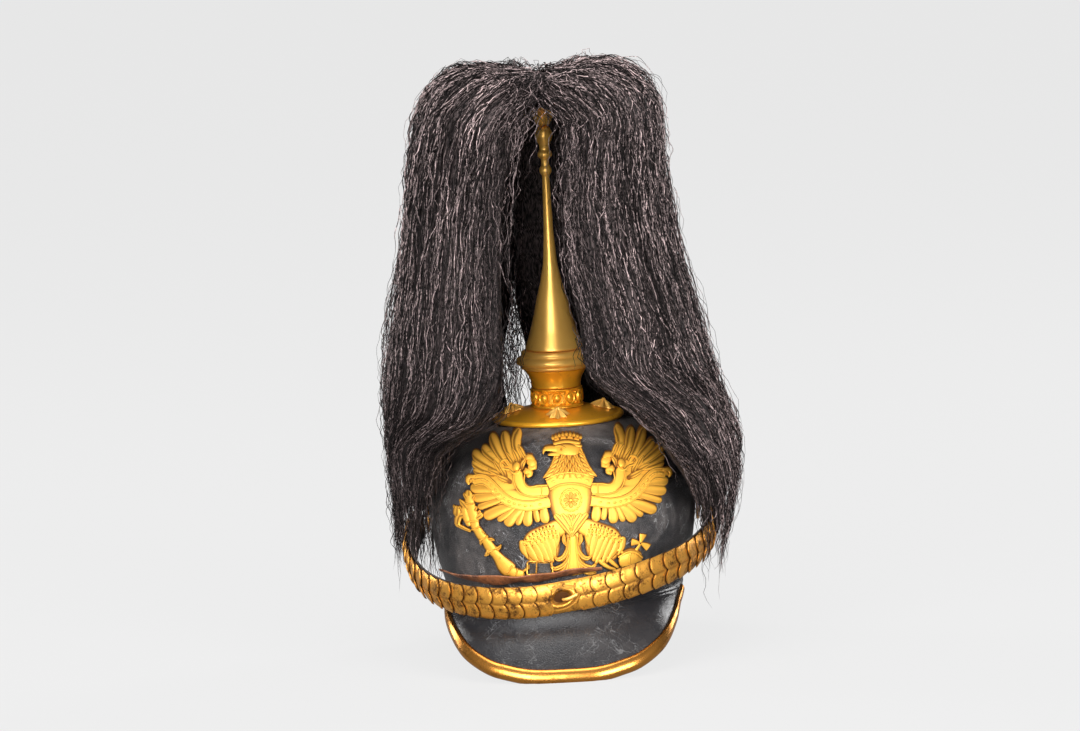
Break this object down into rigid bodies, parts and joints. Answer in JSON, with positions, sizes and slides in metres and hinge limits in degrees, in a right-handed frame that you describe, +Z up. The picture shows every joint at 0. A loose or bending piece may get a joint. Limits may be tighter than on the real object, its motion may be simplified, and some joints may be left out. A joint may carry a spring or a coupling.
{
  "type": "spiked parade helmet",
  "caption": "Leather spiked helmet with an eagle front plate, chin scales and a parted horsehair plume on a tall tapering brass holder.",
  "frame": {"origin": "on the surface that the helmet rests on, under the middle of the helmet, on the spike's axis", "axes": "+Z up along the spike, -Y to the front, +X to the viewer's right when seen from the front"},
  "size_m": [0.2449, 0.2798, 0.3975],
  "materials": {
    "shell_leather": "worn black, dusty satin",
    "polished_brass": "polished gilt",
    "dark_brass": "gilt with dark tarnish",
    "gilt_plate": "bright frosted gilt",
    "old_brass": "dull, brown patina",
    "horsehair": "black crimped hair",
    "lining_leather": "dark, dry",
    "brown_leather": "brown, worn"
  },
  "bodies": {
    "root": {"base_plate": "polished_brass", "boss_left": "old_brass", "boss_right": "old_brass", "chin_lining": "lining_leather", "end_hook": "polished_brass", "end_plate": "old_brass", "front_plate": "gilt_plate", "front_visor": "shell_leather", "medallion_ring": "dark_brass", "neck_guard": "shell_leather", "plume": "horsehair", "plume_cup": "polished_brass", "scale_left_01": "old_brass", "scale_left_02": "old_brass", "scale_left_03": "old_brass", "scale_left_04": "old_brass", "scale_left_05": "old_brass", "scale_left_06": "old_brass", "scale_left_07": "old_brass", "scale_left_08": "old_brass", "scale_left_09": "old_brass", "scale_left_10": "old_brass", "scale_left_11": "old_brass", "scale_left_12": "old_brass", "scale_left_13": "old_brass", "scale_left_14": "old_brass", "scale_left_15": "old_brass", "scale_left_16": "old_brass", "scale_left_17": "old_brass", "scale_right_01": "old_brass", "scale_right_02": "old_brass", "scale_right_03": "old_brass", "scale_right_04": "old_brass", "scale_right_05": "old_brass", "scale_right_06": "old_brass", "scale_right_07": "old_brass", "scale_right_08": "old_brass", "scale_right_09": "old_brass", "scale_right_10": "old_brass", "scale_right_11": "old_brass", "scale_right_12": "old_brass", "scale_right_13": "old_brass", "scale_right_14": "old_brass", "scale_right_15": "old_brass", "scale_right_16": "old_brass", "shell": "shell_leather", "spike_collar": "polished_brass", "spike_cone": "polished_brass", "spike_neck": "dark_brass", "star_stud_back": "polished_brass", "star_stud_front": "polished_brass", "star_stud_left": "polished_brass", "star_stud_right": "polished_brass", "tie_buckle": "polished_brass", "tie_strap": "brown_leather", "visor_trim": "polished_brass"}
  },
  "joints": []
}
